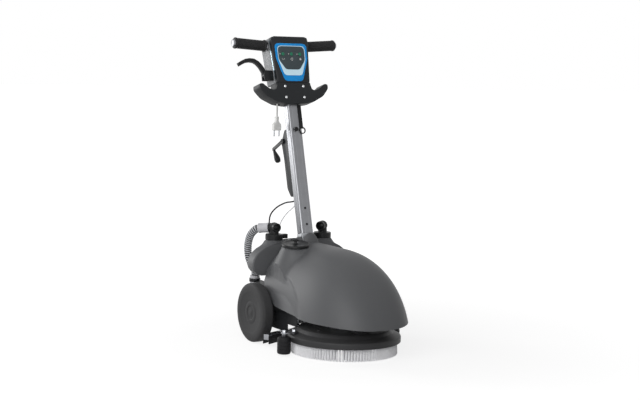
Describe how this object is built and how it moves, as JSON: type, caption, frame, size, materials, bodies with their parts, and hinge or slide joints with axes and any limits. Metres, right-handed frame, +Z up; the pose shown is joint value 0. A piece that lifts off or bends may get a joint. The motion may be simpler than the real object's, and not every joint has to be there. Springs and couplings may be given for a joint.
{
  "type": "walk-behind scrubber dryer",
  "caption": "Compact mains scrubber dryer: disc brush under a domed water tank, rear recovery tank with suction hose, squeegee, wheels and a tilting column with console and grips.",
  "frame": {"origin": "centre of the footprint on the floor, under the middle of the machine", "axes": "+Z up; the nose faces -Y and the operator stands at +Y; +X is to the right seen from the front of the brush looking at +Y"},
  "size_m": [0.4658, 0.73, 1.0329],
  "materials": {
    "body_plastic": "rotomoulded satin",
    "black_plastic": "satin",
    "charcoal_plastic": "fine grain",
    "deck_plastic": "satin",
    "wheel_rubber": "matt",
    "grip_rubber": "matt",
    "black_rubber": "matt",
    "mottled_plastic": "speckled grain",
    "blue_panel": "printed film",
    "silver_panel": "silver print",
    "membrane": "textured film",
    "button_green": "domed key",
    "aluminium": "satin anodised",
    "casting": "as cast",
    "steel": "turned",
    "chrome": "bright plated",
    "sheet_steel": "black powder coat",
    "cuff_plastic": "satin",
    "hose_plastic": "ribbed",
    "white_plastic": "satin",
    "bristle": "nylon strand"
  },
  "bodies": {
    "machine": {"chassis": "sheet_steel", "wheel_axle": "steel", "front_tank": "body_plastic", "rear_tank": "body_plastic", "brush_deck": "deck_plastic", "drive_gearbox": "casting", "brush_motor": "steel", "suction_motor": "black_plastic", "solution_valve": "black_plastic", "left_elbow": "black_plastic", "right_elbow": "black_plastic", "float_cage": "white_plastic", "upper_cuff": "cuff_plastic", "suction_hose": "hose_plastic", "lower_cuff": "cuff_plastic", "hose_clip": "sheet_steel", "squeegee_pipe": "black_rubber", "roller_bracket_left": "chrome", "roller_bracket_right": "chrome", "column_bracket": "body_plastic", "pivot_pin": "steel", "control_cable": "black_rubber", "lift_cable": "cuff_plastic"},
    "column": {"column_foot": "casting", "column_tube": "aluminium", "lever_housing": "charcoal_plastic", "console_front": "charcoal_plastic", "console_back": "mottled_plastic", "panel_frame": "blue_panel", "panel_border": "silver_panel", "panel_membrane": "membrane", "control_board": "membrane", "cable_hook": "charcoal_plastic", "cord_gland": "black_plastic", "power_cord": "white_plastic", "power_plug": "white_plastic", "handlebar": "aluminium", "grip_left": "grip_rubber", "grip_right": "grip_rubber", "release_block": "black_plastic"},
    "brush": {"bristle_ring": "bristle", "brush_block": "black_plastic", "drive_hub": "steel"},
    "left_wheel": {"wheel_left": "wheel_rubber"},
    "right_wheel": {"wheel_right": "wheel_rubber"},
    "left_roller": {"bumper_roller_left": "black_rubber"},
    "right_roller": {"bumper_roller_right": "black_rubber"},
    "squeegee": {"squeegee_body": "sheet_steel", "front_blade": "black_rubber", "rear_blade": "black_rubber"},
    "lid": {"tank_lid": "black_plastic"},
    "left_collar": {"left_cap": "black_plastic"},
    "right_collar": {"right_cap": "black_plastic"},
    "float": {"float_ball": "white_plastic"},
    "lift_crank": {"lift_lever": "black_plastic"},
    "release": {"release_lever": "black_plastic"},
    "strap": {"retaining_strap": "black_rubber"},
    "left_button": {"button_left": "button_green"},
    "middle_button": {"button_middle": "button_green"},
    "right_button": {"button_right": "button_green"}
  },
  "joints": [
    {"name": "column_tilt", "type": "hinge", "parent": "machine", "child": "column", "pos_m": [0, 0.13273, 0.33], "axis": [-1, 0, 0], "range_deg": [-12, 36], "deforming": ["control_cable", "lift_cable"]},
    {"name": "brush_spin", "type": "hinge", "parent": "machine", "child": "brush", "pos_m": [0, -0.13127, 0.05], "axis": [0, 0, 1], "continuous": true},
    {"name": "left_wheel_spin", "type": "hinge", "parent": "machine", "child": "left_wheel", "pos_m": [-0.191, 0.13773, 0.1], "axis": [1, 0, 0], "continuous": true},
    {"name": "right_wheel_spin", "type": "hinge", "parent": "machine", "child": "right_wheel", "pos_m": [0.191, 0.13773, 0.1], "axis": [1, 0, 0], "continuous": true},
    {"name": "left_roller_spin", "type": "hinge", "parent": "machine", "child": "left_roller", "pos_m": [-0.211, -0.10377, 0.032], "axis": [0, 0, 1], "continuous": true},
    {"name": "right_roller_spin", "type": "hinge", "parent": "machine", "child": "right_roller", "pos_m": [0.211, -0.10377, 0.032], "axis": [0, 0, 1], "continuous": true},
    {"name": "squeegee_lift", "type": "slide", "parent": "machine", "child": "squeegee", "axis": [0, 0, 1], "range_m": [-0.016, 0], "deforming": ["squeegee_pipe"]},
    {"name": "lid_lift", "type": "slide", "parent": "machine", "child": "lid", "axis": [-0.0737, -0.118, 0.9903], "range_m": [0, 0.06]},
    {"name": "left_collar_turn", "type": "hinge", "parent": "machine", "child": "left_collar", "pos_m": [-0.096, 0.18873, 0.348], "axis": [0, 0, -1], "range_deg": [0, 90]},
    {"name": "right_collar_turn", "type": "hinge", "parent": "machine", "child": "right_collar", "pos_m": [0.096, 0.18873, 0.348], "axis": [0, 0, 1], "range_deg": [0, 90]},
    {"name": "float_rise", "type": "slide", "parent": "machine", "child": "float", "axis": [0, 0, 1], "range_m": [0, 0.018]},
    {"name": "lift_crank_turn", "type": "hinge", "parent": "column", "child": "lift_crank", "pos_m": [-0.022, 0.27896, 0.66922], "axis": [1, 0, 0], "range_deg": [0, 48]},
    {"name": "release_pull", "type": "hinge", "parent": "column", "child": "release", "pos_m": [-0.094, 0.28587, 0.89565], "axis": [0, 0.9634, -0.2679], "range_deg": [0, 14], "stiffness_Nm_per_rad": 0.6, "springref_deg": -20.05},
    {"name": "strap_swing", "type": "hinge", "parent": "column", "child": "strap", "pos_m": [0.0195, 0.24241, 0.7972], "axis": [-1, 0, 0], "range_deg": [0, 80]},
    {"name": "left_button_press", "type": "slide", "parent": "column", "child": "left_button", "axis": [0, 0.9634, -0.2679], "range_m": [0, 0.001], "stiffness_N_per_m": 400, "springref_m": -0.002},
    {"name": "middle_button_press", "type": "slide", "parent": "column", "child": "middle_button", "axis": [0, 0.9634, -0.2679], "range_m": [0, 0.001], "stiffness_N_per_m": 400, "springref_m": -0.002},
    {"name": "right_button_press", "type": "slide", "parent": "column", "child": "right_button", "axis": [0, 0.9634, -0.2679], "range_m": [0, 0.001], "stiffness_N_per_m": 400, "springref_m": -0.002}
  ],
  "couplings": [
    {"joint": "lift_crank_turn", "follows": "squeegee_lift", "rad_per_m": -52.35}
  ]
}
